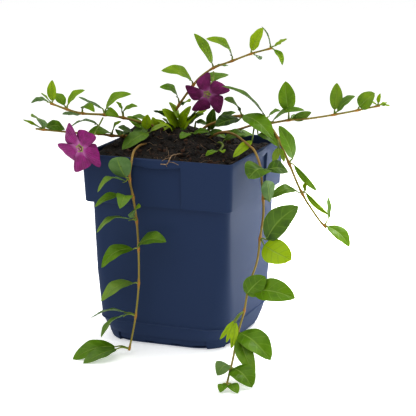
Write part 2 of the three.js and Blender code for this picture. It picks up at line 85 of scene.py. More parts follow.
RUNNERS = {
    "runner_left_trailing": {
        "radius": 0.88,
        "route": [(-20, 20, 108), (-22, 10, 118), (-27, -4, 121), (-30, -22, 122), (-31, -39, 122.5),
                  (-32, -45, 117), (-33, -46, 108), (-31, -46, 97), (-29, -46, 82), (-28, -47, 65),
                  (-28, -48, 43), (-30, -50, 23), (-32, -53, 12), (-34, -57, 3)],
        "sets": {
            "leaves_left_trailing_1": ((-33, -46, 108), [
                Leaf((-3, -4, 2), (-7, -12, 17), 12, 2, 80, 1.0, 0.15, blunt=0.6),
                Leaf((-3, -5, -1), (-19, -12, -4), 9, 5, 30, 0.6, 0.4)]),
            "leaves_left_trailing_2": ((-31, -46, 97), [
                Leaf((-5, -3, 0), (-23, -8, -3), 10, 3, 20, 0.45, 0),
                Leaf((-4, -6, -1), (-7, -20, -2), 9, 5, 0, 0.5, 0.3)]),
            "leaves_left_trailing_3": ((-29, -46, 82), [
                Leaf((-4, -4, 2), (-24, -12, -4), 9, 5, 30, 0.6, 0.4),
                Leaf((-2, -5, 4), (2, -16, 13), 8, 2, 30, 0.6, 0.1)]),
            "leaves_left_trailing_4": ((-28, -47, 65), [
                Leaf((0, -3, 4), (17, -13, 8), 12, 3, 0, 0.4, 0.2),
                Leaf((-4, -2, 0), (-23, -5, -10), 10, 4, 0, 0.4, 0)]),
            "leaves_left_trailing_5": ((-28, -48, 43), [
                Leaf((-4, -2, 1), (-23, -10, -7), 10, 4, 10, 0.6, 0.5)]),
            "leaves_left_trailing_6": ((-30, -50, 23), [
                Leaf((-7, -1, 3), (-28, 2, -1), 8, 3, 40, 0.4, 0.1),
                Leaf((-8, -4, 2), (-21, -16, -8), 8, 3, 40, 0.35, 0.3)]),
            "leaves_left_trailing_7": ((-34, -56.5, 4), [
                Leaf((-11, -1, 2), (-34, -9, -3), 12, 3, 0, 0.35, 0),
                Leaf((-10, -4, 1), (-27, -17, -3), 10, 2, 10, 0.35, 0.3)]),
        },
    },
    "runner_right_trailing": {
        "radius": 0.88,
        "route": [(8, 30, 106), (14, 26, 118), (22, 20, 124), (30, 12, 125), (36, -4, 124), (40, -18, 123),
                  (43, -30, 122), (46, -38, 115), (47, -41, 107), (48, -43, 95), (48, -46, 85), (46, -51, 72),
                  (44, -57, 59), (39, -64, 46), (36, -74, 33), (32, -84, 22), (29, -97, 11), (26, -112, 4),
                  (25, -119, 2)],
        "sets": {
            "leaves_right_trailing_1": ((46.5, -40, 111), [
                Leaf((4, -5, 3), (-8, -17, 0), 15, 3, 0, 0.25, 0, blunt=0.8),
                Leaf((5, -3, 3), (17, 3, 0), 10, 2, 10, 0.15, 0)]),
            "leaves_right_trailing_2": ((48, -43, 95), [
                Leaf((5, -5, -1), (1, -13, 15), 7.5, 2, 80, 0.45, 0.5)]),
            "leaves_right_trailing_3": ((46, -51, 72), [
                Leaf((5, -3, 0), (21, -12, 23), 14, 2, 38, 0.3, 0.25, blunt=0.4),
                Leaf((3, -5, -4), (18, -16, -9), 14, 2, 30, 1, 0, blunt=0.8)]),
            "leaves_right_trailing_4": ((39, -64, 46), [
                Leaf((4, -4, -2), (27, -15, -3), 14, 4, 20, 0.45, 0, blunt=0.4),
                Leaf((-2, -4, -6), (9, -9, 8), 11, 1, 60, 0.35, 0.1, blunt=0.7)]),
            "side_shoot_right_trailing": ((36, -74, 33), [
                Leaf((-8, -8, -5), (-15, -14, -13), 3, 1, 0, 0.9),
                Leaf((-9, -9, -7), (-11, -17, -14), 3, 1, 0, 0.8),
                Leaf((-7, -9, -6), (-8, -19, -17), 4, 1, 0, 0.85)]),
            "leaves_right_trailing_5": ((32, -84, 22), [
                Leaf((2, -3, 2), (19, -20, -8), 15, 4, 0, 0.4, 0, blunt=0.4),
                Leaf((2, -4, 0), (9, -28, -16), 9, 3, 10, 0.5, 0.1)]),
            "leaves_right_trailing_6": ((27.5, -105, 7), [
                Leaf((-1, -2, 4), (-8, -7, -1), 9, 3, 0, 0.35, 0.7),
                Leaf((2, -3, 2), (12, -16, -5), 13, 3, 0, 0.35, 0, blunt=0.5)]),
            "leaves_right_trailing_7": ((25.2, -118, 2.5), [
                Leaf((-3, -2, 1), (-4, -10, -1), 5, 1, 0, 0.4),
                Leaf((3, -2, 1), (6, -11, -1), 6, 1, 0, 0.4)]),
        },
    },
    "runner_upper_left": {
        "radius": 0.88,
        "route": [(-14, 30, 108), (-17, 27, 120), (-21, 24, 128), (-28, 19, 131), (-39, 8, 136), (-50, -4, 140),
                  (-63, -16, 143), (-72, -24, 147), (-81, -32, 152)],
        "sets": {
            "leaves_upper_left_1": ((-39, 8, 136), [
                Leaf((0, -2, 6), (9, -6, 9), 5, 1, 0, 0.6),
                Leaf((-1, -1, 5), (-4, -4, 11), 4, 1, 0, 0.6)]),
            "leaves_upper_left_2": ((-50, -4, 140), [
                Leaf((1, -1, 5), (17, -4, 14), 8, 4, 0, 0.6),
                Leaf((-2, 2, 5), (-17, 12, 10), 6, 0, 60, 0.55),
                Leaf((2, -2, 4), (9, -10, 1), 5, 3, 40, 0.5)]),
            "leaves_upper_left_3": ((-63, -16, 143), [
                Leaf((0, -2, 5), (8, -10, 3), 6, 3, 0, 0.5),
                Leaf((-2, 2, -1), (-13, 9, -1), 5, 0, 60, 0.5)]),
            "leaves_upper_left_4": ((-72, -24, 147), [
                Leaf((1, -1, 4), (11, -4, 13), 7, 2, 0, 0.7),
                Leaf((-2, 1, 3), (-8, 6, 9), 6, 1, 0, 0.5)]),
            "leaves_upper_left_tip": ((-80.5, -31.5, 151.7), [
                Leaf((1, 0, 2), (1, -4, 15), 5, 0, 0, 0.75),
                Leaf((-1, -1, 2), (-5, -6, 8), 3, 0, 0, 0.8),
                Leaf((-2, 1, 1), (-13, 6, 0), 5, 2, 60, 0.6)]),
        },
    },
    "runner_lower_left": {
        "radius": 0.85,
        "route": [(-16, 26, 106), (-20, 22, 118), (-30, 11, 123), (-39, 4, 125), (-46, 0, 126), (-54, -4, 128),
                  (-62, -9, 129), (-77, -17, 132), (-87, -22, 134), (-91, -25, 135)],
        "sets": {
            "leaves_lower_left_1": ((-39, 4, 125), [Leaf((2, -3, 2), (-2, -14, 4), 8, 2, 0, 0.1)]),
            "leaves_lower_left_2": ((-46, 0, 126), [
                Leaf((-1, -3, 3), (-14, -12, 4), 8, 2, 0, 0.3),
                Leaf((1, -1, 5), (6, -4, 10), 4, 1, 0, 0.6)]),
            "leaves_lower_left_3": ((-54, -4, 128), [Leaf((-1, 0, 8), (-17, -8, 7), 6, 3, 40, 0.3)]),
            "leaves_lower_left_tip": ((-87, -22, 134), [
                Leaf((-2, -2, 2), (-11, -8, 8), 3, 0, 0, 0.8),
                Leaf((0, -1, 2), (-5, -12, 11), 9, 2, 0, 0.65, 0.5, blunt=0.7),
                Leaf((2, 1, 2), (13, 7, -1), 7, 2, 20, 0.3)]),
        },
    },
    "runner_upright": {
        "radius": 0.88,
        "route": [(-8, 38, 106), (-8, 38, 122), (-7, 37, 131), (-6, 36, 136), (-2, 34, 143), (5, 31, 153),
                  (10, 29, 159), (18, 26, 165), (30, 23, 170), (42, 20, 175), (55, 17, 179)],
        "sets": {
            "leaves_upright_1": ((-4, 35, 140), [
                Leaf((-1, -2, 6), (-12, -7, 13), 8, 3, 0, 0.35),
                Leaf((3, -3, 0), (7, -11, 4), 6, 1, 0, 0.7)]),
            "leaves_upright_2": ((5, 31, 153), [
                Leaf((-1, -1, 4), (-20, -5, 11), 10, 4, 0, 0.65),
                Leaf((3, 2, 2), (23, 7, 7), 8, 1, 0, 0.5, 0.2)]),
            "leaves_upright_3": ((18, 26, 165), [
                Leaf((-1, -1, 4), (-12, -6, 23), 9, 2, 0, 0.65),
                Leaf((3, 1, 2), (10, 6, 1), 3, 0, 0, 0.4, 0.4)]),
            "leaves_upright_4": ((30, 23, 170), [Leaf((0, -1, 4), (-16, -9, 16), 9, 4, 0, 0.65)]),
            "leaves_upright_5": ((42, 20, 175), [
                Leaf((0, -1, 3), (7, -4, 17), 9, 1, 0, 0.95, blunt=0.5),
                Leaf((1, 2, -1), (6, 11, -5), 7, 1, 0, 0.5, 0.6)]),
            "leaves_upright_tip": ((54, 17.3, 178.8), [
                Leaf((0, 1, 3), (-5, 3, 14), 4, 1, 60, 0.6),
                Leaf((3, -1, 2), (10, -4, 7), 4, 0, 0, 0.95, 0.3),
                Leaf((3, 0, -1), (8, -3, -10), 4, 2, 0, 0.6)]),
        },
    },
    "runner_right_arching": {
        "radius": 1.0,
        "route": [(2, 34, 106), (6, 32, 117), (13, 25, 127), (22, 18, 132), (30, 12, 136), (38, 6, 137),
                  (46, 0, 136), (53, -5, 133), (58, -9, 126), (65, -14, 111), (73, -19, 93), (83, -24, 78),
                  (88, -27, 73)],
        "sets": {
            "leaves_right_arching_1": ((36, 7.5, 137), [
                Leaf((-2, -2, 5), (-11, -10, 13), 9, 2, 0, 0.3),
                Leaf((-2, -3, -2), (-17, -12, -4), 10, 1, 0, 0.05),
                Leaf((1, -6, 2), (19, -25, -8), 12, 3, 0, 0.45)]),
            "leaves_right_arching_2": ((50, -3, 135), [
                Leaf((0, 1, 6), (-26, -3, 25), 8, 3, 25, 0.25, 0.2),
                Leaf((3, -1, 5), (9, -6, 9), 5, 1, 0, 0.45, 0.3)]),
            "shoot_hanging": ((45, 0.7, 136.3), [
                Leaf((1, -9, -11), (13, -14, -14), 7, 2, 0, 0.35),
                Leaf((-4, -11, -16), (-15, -19, -20), 6, 1, 0, 0.75)]),
            "shoot_pale": ((58, -9, 126), [
                Leaf((0, -5, -7), (-3, -8, -14), 4, 0, 0, 1, 0.4),
                Leaf((1, -4, -7), (4, -6, -14), 3, 0, 0, 1, 0.4)]),
            "leaves_right_arching_3": ((65, -14, 111), [
                Leaf((3, -4, 5), (-6, -6, 25), 10, 2, 0, 0.35),
                Leaf((4, -1, -1), (18, 0, -18), 3.5, 3, 50, 0.45)]),
            "leaves_right_arching_4": ((73, -19, 93), [
                Leaf((-2, -2, 1), (-20, -13, 1), 8, 4, 0, 0.3),
                Leaf((3, -1, 1), (16, -8, -12), 3, 2, 50, 0.7),
                Leaf((2, 0, 2), (2, -3, 8), 4, 0, 0, 0.9)]),
            "leaves_right_arching_tip": ((87, -26.5, 74), [
                Leaf((2, -1, 0), (15, -9, -11), 9, 2, 0, 0.5),
                Leaf((3, 3, 5), (4, 12, 16), 5, 0, 60, 0.4, 0.3)]),
        },
    },
    "runner_long_right": {
        "radius": 0.85,
        "route": [(5, 38, 104), (9, 37, 116), (19, 34, 121), (28, 31, 123), (35, 28, 125), (43, 25, 128),
                  (54, 21, 130), (66, 16, 133), (78, 10, 135), (94, 2, 139), (108, -5, 143), (121, -11, 147)],
        "sets": {
            "leaves_long_right_1": ((53, 21.3, 130), [Leaf((3, -4, 2), (22, -17, 12), 7, 3, 0, 0.4, 0.3)]),
            "leaves_long_right_2": ((66, 16, 133), [
                Leaf((0, 0, 7), (-2, -2, 25), 10, 0, 0, 0.5),
                Leaf((3, -1, 1), (14, -5, 6), 5, 1, 60, 0.5, 0.3),
                Leaf((2, 3, 1), (9, 9, -1), 6, 1, 0, 0.3)]),
            "leaves_long_right_3": ((94, 2, 139), [
                Leaf((0, 0, 4), (1, 0, 20), 7, 0, 0, 0.65, 0.2),
                Leaf((2, -2, 3), (12, -6, 13), 8, 1, 0, 0.4, 0.4)]),
            "leaves_long_right_4": ((108, -5, 143), [Leaf((1, -1, 3), (9, -7, 12), 9, 2, 50, 0.6, 0.2, blunt=0.7)]),
            "leaves_long_right_tip": ((120, -10.6, 146.7), [
                Leaf((0, 0, 2), (1, -1, 8), 2.2, 0, 0, 0.8),
                Leaf((1, 0, 1), (5, -3, 3), 2.2, 0, 0, 0.9),
                Leaf((-1, 0, 1), (-4, -2, 3), 2.2, 0, 0, 0.8),
                Leaf((2, 0, 1), (7, -3, 1), 2, 0, 0, 0.8)]),
        },
    },
}

# Short crown shoots: the route of a stub that stands out of the soil, and the leaves at its head.
CROWN_SHOOTS = {
    "crown_rosette": ([(-1, 42, 110), (-1, 41, 124)], [
        Leaf((-3, -2, 3), (-9, -9, 18), 9, 1, 0, 0.6), Leaf((3, -3, 4), (10, -13, 15), 7, 1, 0, 0.9, 0.1),
        Leaf((4, -1, 2), (14, -6, 13), 6, 1, 0, 0.7), Leaf((-4, 0, 2), (-17, 1, 11), 6, 2, 0, 0.6)]),
    "crown_left_shoot": ([(-24, 17, 108), (-25, 16, 124)], [
        Leaf((0, -1, 4), (1, -3, 13), 6, 0, 0, 0.8), Leaf((-2, 2, 4), (-12, 5, 11), 6, 1, 0, 0.35),
        Leaf((2, -8, 2), (-14, -26, -4), 10, 3, 0, 0.3, 0.3), Leaf((3, -3, 2), (12, -10, 8), 7, 1, 0, 0.6, 0.2)]),
    "shoot_front": ([(18, 24, 108), (20, 20, 116), (22, 13, 119), (24, 4, 119), (22, -3, 117)], [
        Leaf((-2, -2, 0), (-9, -11, -1), 4, 1, 0, 0.4), Leaf((1, -3, 0), (2, -11, 1), 4, 1, 0, 0.5)]),
    "crown_front_shoot": ([(2, 26, 106), (2, 25, 122.5)], [
        Leaf((0, -3, 1), (-5, -14, 0), 6, 1, 0, 0.3, 0.2), Leaf((4, -2, 1), (13, -8, 3), 6, 1, 0, 0.1)]),
}

# Loose leaves and shoots that fill the crown, each with the place it grows from.
CROWN_LEAVES = [
    ((-5, 37, 118), Leaf((-1, -1, 2), (-9.4, -7, 20), 9.5, 2, 0, 0.85, blunt=0.7)),
    ((-4, 38, 119), Leaf((0, 0, 4), (7, -2, 20), 6.5, 1, 0, 0.8)),
    ((-3, 37, 119), Leaf((1, -1, 4), (10, -7, 17), 6.5, 1, 0, 1.1)),
    ((-2, 38, 121), Leaf((1, 0, 5), (14, -8, 14), 5.5, 1, 0, 0.35)),
    ((-6, 36, 118), Leaf((-2, 0, 3), (-14, -2, 13), 4.5, 1, 10, 0.7)),
    ((-6, 36, 118), Leaf((-1, -2, 3), (-8, -9, 15), 7, 1, 20, 0.6, blunt=0.5)),
    ((-19, 31, 118), Leaf((0, -1, 4), (-2, -4, 15), 6, 1, 0, 0.9, blunt=0.5)),
    ((-19, 31, 118), Leaf((1, -1, 3), (9, -8, 9), 5, 1, 0, 0.75)),
    ((-10, 41, 128), Leaf((-2, -1, 6), (-11, -5, 8), 3.5, 0, 60, 0.15)),
    ((-8, 29, 116), Leaf((-1, -1, 3), (-9, -8, 15), 3, 4, 0, 0.9)),
    ((-20, 32, 124), Leaf((-2, -2, 5), (-14, -12, 11), 5.5, 2, 0, 0.35, 0.3)),
    ((-31, 12, 117), Leaf((-1, 0, 4), (6, 8, 13), 8, 1, 0, 0.25, 0.6)),
    ((-31, 18, 119), Leaf((-2, 0, 5), (-11, -8, 11), 8, 1, 0, 0.0)),
    ((-34, 8, 118), Leaf((0, 0, 3), (7, 0, 6), 5, 1, 0, 0.85)),
    ((7, 34, 117), Leaf((-2, 0, 4), (-11, -8, 7), 7, 1, 0, 0.0)),
    ((-1, 24, 117), Leaf((-1, 0, 3), (-3, -8, -1), 7, 1, 30, 0.25)),
    ((6, 36, 124), Leaf((1, 0, 6), (8, -2, 3), 4.5, 1, 0, 0.05)),
    ((15, 34, 118), Leaf((1, 0, 7), (3, -4, 20), 7, 1, 0, 0.1)),
    ((20, 30, 127), Leaf((1, 0, 5), (12, -4, 10), 6, 1, 0, 0.05)),
    ((-31, 2, 119), Leaf((0, 0, 3), (-8, -6, -1), 5, 1, 20, 0.5, 0.2)),
    ((12, 30, 119), Leaf((2, -1, 3), (14, -8, 2), 7, 2, 0, 0.1)),
    ((24, 22, 117), Leaf((2, 0, 3), (15, 1, 6), 8, 2, 0, 0.1)),
    ((28, 24, 118), Leaf((1, 1, 3), (16, 6, 3), 7, 2, 0, 0.25)),
]

FLOWERS = {
    "left": {"stalk": [(-51, -6, 138.5), (-53, -11, 135), (-56, -20, 130), (-58, -28, 128.5)],
             "centre": (-63, -41, 126), "facing": (-5, -8, -2), "spin": -17, "length": 12.8, "width": 14.8},
    "front": {"stalk": [(18, 24, 163), (18, 21, 160), (17, 18, 156)],
              "centre": (14, 8, 151), "facing": (-1, -10, -2), "spin": 31, "length": 11.4, "width": 11.6},
}

ROOT_ROUTE = [(0, 8, 108), (-2, -10, 116), (-6, -32, 120), (-8, -48, 122), (-10, -54, 119), (-14, -52, 118.5)]

# ---- Shapes ----------------------------------------------------------------------------------------


def smooth(points, steps=5):
    """Sample a flowing curve through the points."""
    knots = [Vector(point) for point in points]
    knots = [2 * knots[0] - knots[1], *knots, 2 * knots[-1] - knots[-2]]
    line = []
    for a, b, c, d in zip(knots, knots[1:], knots[2:], knots[3:]):
        for step in range(steps):
            t = step / steps
            bend = (2 * a - 5 * b + 4 * c - d) * t * t + (3 * b - a - 3 * c + d) * t ** 3
            line.append(0.5 * (2 * b + (c - a) * t + bend))
    line.append(knots[-2])
    return line


def grid_points(bm, columns, rows):
    """Add a flat grid, and return each vertex with its column and row."""
    made = bmesh.ops.create_grid(bm, x_segments=columns, y_segments=rows, size=0.5)["verts"]
    return [(v, round((v.co.x + 0.5) * columns), round((v.co.y + 0.5) * rows)) for v in made]


def skin(bm, rows, mark=None):
    """Join rings of points into one surface. A ring whose points are all equal becomes a pole."""
    count = len(rows[0])
    placed = grid_points(bm, count, len(rows) - 1)
    for vertex, column, row in placed:
        vertex.co = rows[row][column % count]
        if mark:
            mark(vertex, row)
    bmesh.ops.remove_doubles(bm, verts=[vertex for vertex, _, _ in placed], dist=0.002)


def sweep(bm, line, radius, sides=8, mark=None):
    """Add a round rod along the line, closed at both ends. radius is a number, or a function of 0 to 1."""
    last = len(line) - 1
    tangents = [(line[min(i + 1, last)] - line[max(i - 1, 0)]).normalized() for i in range(last + 1)]
    normal = tangents[0].orthogonal()
    rows = [[line[0]] * sides]
    for i, tangent in enumerate(tangents):
        normal = (normal - tangent * normal.dot(tangent)).normalized()
        reach = radius(i / last) if callable(radius) else radius
        turns = [math.tau * side / sides for side in range(sides)]
        beside = tangent.cross(normal)
        rows.append([line[i] + reach * (math.cos(a) * normal + math.sin(a) * beside) for a in turns])
    rows.append([line[-1]] * sides)
    skin(bm, rows, mark and (lambda vertex, row: mark(vertex, min(max(row - 1, 0), last))))


def two_sided(bm, columns, rows, place, under=None):
    """Add a thin closed sheet. place(across, along, face) gives a point, where face is 1 above and -1 below."""
    for face in (1, -1):
        placed = grid_points(bm, columns, rows)
        faces = set()
        for vertex, column, row in placed:
            place(vertex, 2 * column / columns - 1, row / rows, face)
            faces.update(vertex.link_faces)
        for polygon in faces:
            if under:
                polygon[under] = 0.0 if face > 0 else 1.0
    margin = [v for v in bm.verts if v.is_boundary]
    bmesh.ops.remove_doubles(bm, verts=margin, dist=0.002)


def lump(bm, centre, radius, rng, flat=0.7):
    """Add one uneven crumb."""
    made = bmesh.ops.create_icosphere(bm, subdivisions=1, radius=radius)["verts"]
    turn = Matrix.Rotation(rng.uniform(0, math.tau), 3, Vector((rng.random(), rng.random(), rng.random())))
    for vertex in made:
        point = vertex.co * rng.uniform(0.7, 1.2)
        point.z *= flat
        vertex.co = centre + turn @ point
    return made


def new_piece(name, bm, materials, node=None, turned=True, crease=40, stands=False):
    """Turn millimetre shapes into a finished piece of the part, which stands for a CAD node."""
    bmesh.ops.recalc_face_normals(bm, faces=bm.faces)
    for face in bm.faces:
        face.smooth = True
    for edge in bm.edges:
        edge.smooth = edge.is_boundary or edge.calc_face_angle(0) < math.radians(crease)
    turn = Matrix.Rotation(PLANT_TURN, 4, "Z") if turned else Matrix.Identity(4)
    bmesh.ops.transform(bm, matrix=Matrix.Scale(MM, 4) @ turn, verts=bm.verts)
    mesh = bpy.data.meshes.new(name)
    bm.to_mesh(mesh)
    bm.free()
    for material in materials:
        mesh.materials.append(material)
    piece = bpy.data.objects.new(name, mesh)
    bpy.context.scene.collection.objects.link(piece)
    if node:
        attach(piece, "root")
        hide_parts(node)
    elif stands:
        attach(piece, "root")
    return piece


def marks(bm, *names):
    """Make a number on each vertex for each name, which materials read."""
    return [bm.verts.layers.float.new(name) for name in names]


# ---- Materials -------------------------------------------------------------------------------------


class Socket:
    """A number or colour that comes out of a shader node. Arithmetic with it adds Math nodes."""

    def __init__(self, graph, source):
        self.graph = graph
        self.source = source

    def math(self, operation, *values):
        inputs = dict(enumerate(values))
        return self.graph.node("ShaderNodeMath", {"operation": operation}, inputs)

    def __add__(self, other):
        return self.math("ADD", self, other)

    __radd__ = __add__

    def __mul__(self, other):
        return self.math("MULTIPLY", self, other)

    __rmul__ = __mul__

    def __sub__(self, other):
        return self.math("SUBTRACT", self, other)

    def __rsub__(self, other):
        return self.math("SUBTRACT", other, self)

    def __pow__(self, other):
        return self.math("POWER", self, other)

    def __abs__(self):
        return self.math("ABSOLUTE", self)

    def wave(self):
        """The sine of this number."""
        return self.math("SINE", self)

    def step(self, low, high):
        """Rise smoothly from 0 to 1 as this number goes from low to high."""
        settings = {"interpolation_type": "SMOOTHSTEP"}
        return self.graph.node("ShaderNodeMapRange", settings, {0: self, 1: low, 2: high})


class Graph:
    """The shader nodes of one material."""

    def __init__(self, name):
        self.material = bpy.data.materials.new(name)
        self.material.use_nodes = True
        self.tree = self.material.node_tree
        self.shader = self.tree.nodes["Principled BSDF"]
        where = self.tree.nodes.new("ShaderNodeTexCoord")
        self.place = Socket(self, where.outputs["Object"])

    def node(self, kind, settings=None, inputs=None, output=0):
        made = self.tree.nodes.new(kind)
        for key, value in (settings or {}).items():
            setattr(made, key, value)
        for key, value in (inputs or {}).items():
            self.put(made.inputs[key], value)
        return Socket(self, made.outputs[output])

    def put(self, socket, value):
        if isinstance(value, Socket):
            self.tree.links.new(value.source, socket)
        elif isinstance(value, tuple) and len(value) == 3 and socket.type == "RGBA":
            socket.default_value = (*value, 1)
        else:
            socket.default_value = value

    def mark(self, name):
        return self.node("ShaderNodeAttribute", {"attribute_name": name}, output="Fac")

    def noise(self, size, detail=3, roughness=0.55, output="Fac", **extra):
        """Soft noise whose blotches are about size millimetres wide."""
        inputs = {"Vector": self.place, "Scale": 1 / (size * MM), "Detail": detail, "Roughness": roughness}
        inputs.update(extra)
        return self.node("ShaderNodeTexNoise", None, inputs, output)

    def cells(self, size, output="Distance"):
        """Cells about size millimetres wide."""
        return self.node("ShaderNodeTexVoronoi", None, {"Vector": self.place, "Scale": 1 / (size * MM)}, output)

    def mix(self, factor, low, high):
        return self.node("ShaderNodeMix", {"data_type": "RGBA"}, {0: factor, 6: low, 7: high}, 2)

    def finish(self, colour, rough, height=None, depth=0.1, constants=None):
        """Feed the shader. height is in parts of depth, which is in millimetres."""
        self.put(self.shader.inputs["Base Color"], colour)
        self.put(self.shader.inputs["Roughness"], rough)
        if height:
            inputs = {"Height": height, "Strength": 1.0, "Distance": depth * MM}
            self.put(self.shader.inputs["Normal"], self.node("ShaderNodeBump", None, inputs))
        for key, value in (constants or {}).items():
            self.shader.inputs[key].default_value = value
        return self.material


def shared(build):
    """Build a material once, and give the same one each time after."""
    return bpy.data.materials.get(build.__name__) or build(Graph(build.__name__))


def leaf_surface(graph, fresh):
    """A glossy leaf with a pale midrib, fine side veins and a greyer underside, with painted shade from tone and a
    painted grey sheen from pale.
    """
    across, along = graph.mark("across"), graph.mark("along")
    tone, pale, under = graph.mark("tone"), graph.mark("pale"), graph.mark("under")
    edge = abs(across)
    mottle = graph.noise(7)
    # tone sets each leaf's lightness: partly its own colour, partly painted shade on leaves in shadow.
    light = tone + 0.6 * (mottle - 0.5) + fresh + 0.1 * along
    face = graph.mix(light.step(0.0, 0.55), (0.018, 0.054, 0.001), (0.125, 0.250, 0.001))
    face = graph.mix(light.step(0.45, 1.05), face, (0.340, 0.480, 0.002))
    side = (edge * 7 - along * 30 + 0.8 * mottle).wave()
    vein = side.step(0.8, 1.0) * edge.step(0.0, 0.15) * (1 - edge.step(0.75, 1.0))
    face = graph.mix(0.35 * vein, face, (0.20, 0.34, 0.03))
    # Painted sheen: pale mixes the face towards grey green, the reflection of the bright surroundings on a glossy
    # leaf.
    face = graph.mix(0.75 * pale, face, (0.165, 0.245, 0.115))
    back = graph.mix(mottle.step(0.3, 0.7), (0.125, 0.225, 0.075), (0.185, 0.290, 0.110))
    colour = graph.mix(under, face, back)
    rib = 1 - edge.step(0.02, 0.09)
    colour = graph.mix(rib * (0.75 - 0.45 * along), colour, (0.300, 0.420, 0.080))
    colour = graph.mix(edge.step(0.93, 1.0) * 0.5, colour, (0.190, 0.290, 0.030))
    speck = graph.cells(5).step(0.05, 0.11)
    stain = (1 - speck) * graph.noise(19).step(0.55, 0.65)
    colour = graph.mix(stain * 0.7, colour, (0.120, 0.070, 0.015))
    rough = 0.30 + 0.16 * graph.noise(2.5) + 0.18 * under
    height = 0.5 * vein - 1.2 * rib + 0.5 * graph.noise(1.1, 2)
    return graph.finish(colour, rough, height, 0.12, {"Specular IOR Level": 0.3})


def leaf_green(graph):
    return leaf_surface(graph, 0.0)


def young_leaf_green(graph):
    return leaf_surface(graph, 0.12)


def stem_bark(graph):
    """Thin tan and green bark that turns orange brown at the nodes."""
    knot = graph.mark("knot")
    green = graph.mark("green")
    blotch = graph.noise(9, 3)
    colour = graph.mix(green + 0.6 * (blotch - 0.5), (0.360, 0.200, 0.060), (0.300, 0.310, 0.045))
    colour = graph.mix(graph.noise(2, 4).step(0.5, 0.75) * 0.45, colour, (0.190, 0.095, 0.030))
    colour = graph.mix(knot * 0.75, colour, (0.480, 0.190, 0.030))
    grain = graph.noise(0.7, 3)
    return graph.finish(colour, 0.42 + 0.2 * blotch, grain, 0.1)


def petiole_green(graph):
    """Pale yellow green leaf stalks."""
    blotch = graph.noise(4, 3)
    colour = graph.mix(blotch.step(0.3, 0.7), (0.130, 0.215, 0.022), (0.290, 0.330, 0.070))
    return graph.finish(colour, 0.38 + 0.1 * blotch, graph.noise(0.6, 2), 0.06)


def petal_surface(graph, inner, outer, shade):
    """A soft petal with a pale star round the throat and fine lines along it."""
    across, along = graph.mark("across"), graph.mark("along")
    edge = abs(across)
    patch = graph.noise(4, 3)
    colour = graph.mix(patch.step(0.35, 0.7), inner, outer)
    line = (across * 26 + 2 * patch).wave()
    colour = graph.mix(0.16 * line.step(0.5, 1.0) * along, colour, shade)
    colour = graph.mix(0.35 * (edge.step(0.6, 1.0)), colour, shade)
    ray = (0.30 - along + 0.12 * edge).step(0.0, 0.30)
    colour = graph.mix(0.7 * ray, colour, (0.60, 0.22, 0.50))
    heart = 1 - along.step(0.05, 0.13)
    colour = graph.mix(heart, colour, (0.38, 0.42, 0.10))
    return graph.finish(colour, 0.55 + 0.1 * patch, line + graph.noise(0.8, 2), 0.07, {"Sheen Weight": 0.2})


def magenta_petal(graph):
    return petal_surface(graph, (0.230, 0.001, 0.140), (0.330, 0.004, 0.210), (0.130, 0.001, 0.085))


def wine_petal(graph):
    return petal_surface(graph, (0.170, 0.004, 0.095), (0.260, 0.012, 0.160), (0.085, 0.003, 0.055))


def flower_heart(graph):
    """Yellow green anthers and stigma."""
    grain = graph.noise(0.6, 3)
    colour = graph.mix(grain.step(0.35, 0.65), (0.330, 0.360, 0.060), (0.620, 0.600, 0.220))
    return graph.finish(colour, 0.55 + 0.1 * grain, grain, 0.1)


def soil_earth(graph):
    """Dark moist peat with brown crumbs, reddish bark bits and pale fibres."""
    tone = graph.mark("tone")
    blotch = graph.noise(6, 5, 0.65)
    colour = graph.mix(blotch.step(0.35, 0.75), (0.006, 0.005, 0.004), (0.040, 0.023, 0.013))
    chip = graph.noise(2.2, 2).step(0.62, 0.7)
    colour = graph.mix(chip * 0.8, colour, (0.085, 0.038, 0.020))
    colour = graph.mix(tone.step(0.2, 0.7), colour, (0.120, 0.055, 0.028))
    colour = graph.mix(tone.step(0.75, 1.0), colour, (0.340, 0.240, 0.150))
    height = graph.noise(1.6, 5, 0.7) + 0.6 * graph.cells(1.2)
    return graph.finish(colour, 0.62 + 0.25 * blotch, height, 1.3)


def pot_plastic(graph):
    """Dark navy moulded plastic with a satin face, a painted purple highlight towards the rim, faint scuffs and
    splashes of soil.
    """
    cloud = graph.noise(40, 3)
    fine = graph.noise(1.3, 2)
    low, high = (0.0001, 0.0085, 0.034), (0.0002, 0.0115, 0.044)
    colour = graph.mix(cloud.step(0.3, 0.7), low, high)
    # Painted highlight: from the collar up to the rim and label strap the colour shifts to a purple cast, the light
    # falling on the strap.
    height = graph.node("ShaderNodeSeparateXYZ", None, {0: graph.place}, "Z")
    colour = graph.mix(0.75 * height.step(0.084, 0.121), colour, (0.0055, 0.0085, 0.046))
    wipe = graph.noise(14, 5, 0.7).step(0.5, 0.85)
    scuff = graph.node("ShaderNodeTexNoise", None, {
        "Vector": graph.node("ShaderNodeMapping", None, {
            "Vector": graph.place, "Rotation": (0.5, 0.0, 0.4), "Scale": (300, 2500, 2500)}),
        "Scale": 1.0, "Detail": 2.0}, "Fac")
    colour = graph.mix(0.06 * wipe, colour, (0.050, 0.060, 0.085))
    splash = (1 - graph.cells(9).step(0.03, 0.09)) * graph.noise(23, 2).step(0.56, 0.62)
    colour = graph.mix(0.85 * splash, colour, (0.090, 0.045, 0.022))
    rough = 0.24 + 0.12 * wipe + 0.06 * scuff + 0.3 * splash
    return graph.finish(colour, rough, fine + 0.4 * scuff + splash, 0.035, {"Specular IOR Level": 0.1})


def root_skin(graph):
    """Pale woody root."""
    grain = graph.noise(1.5, 4)
    colour = graph.mix(grain.step(0.35, 0.7), (0.190, 0.115, 0.062), (0.460, 0.330, 0.200))
    return graph.finish(colour, 0.6 + 0.15 * grain, grain, 0.15)


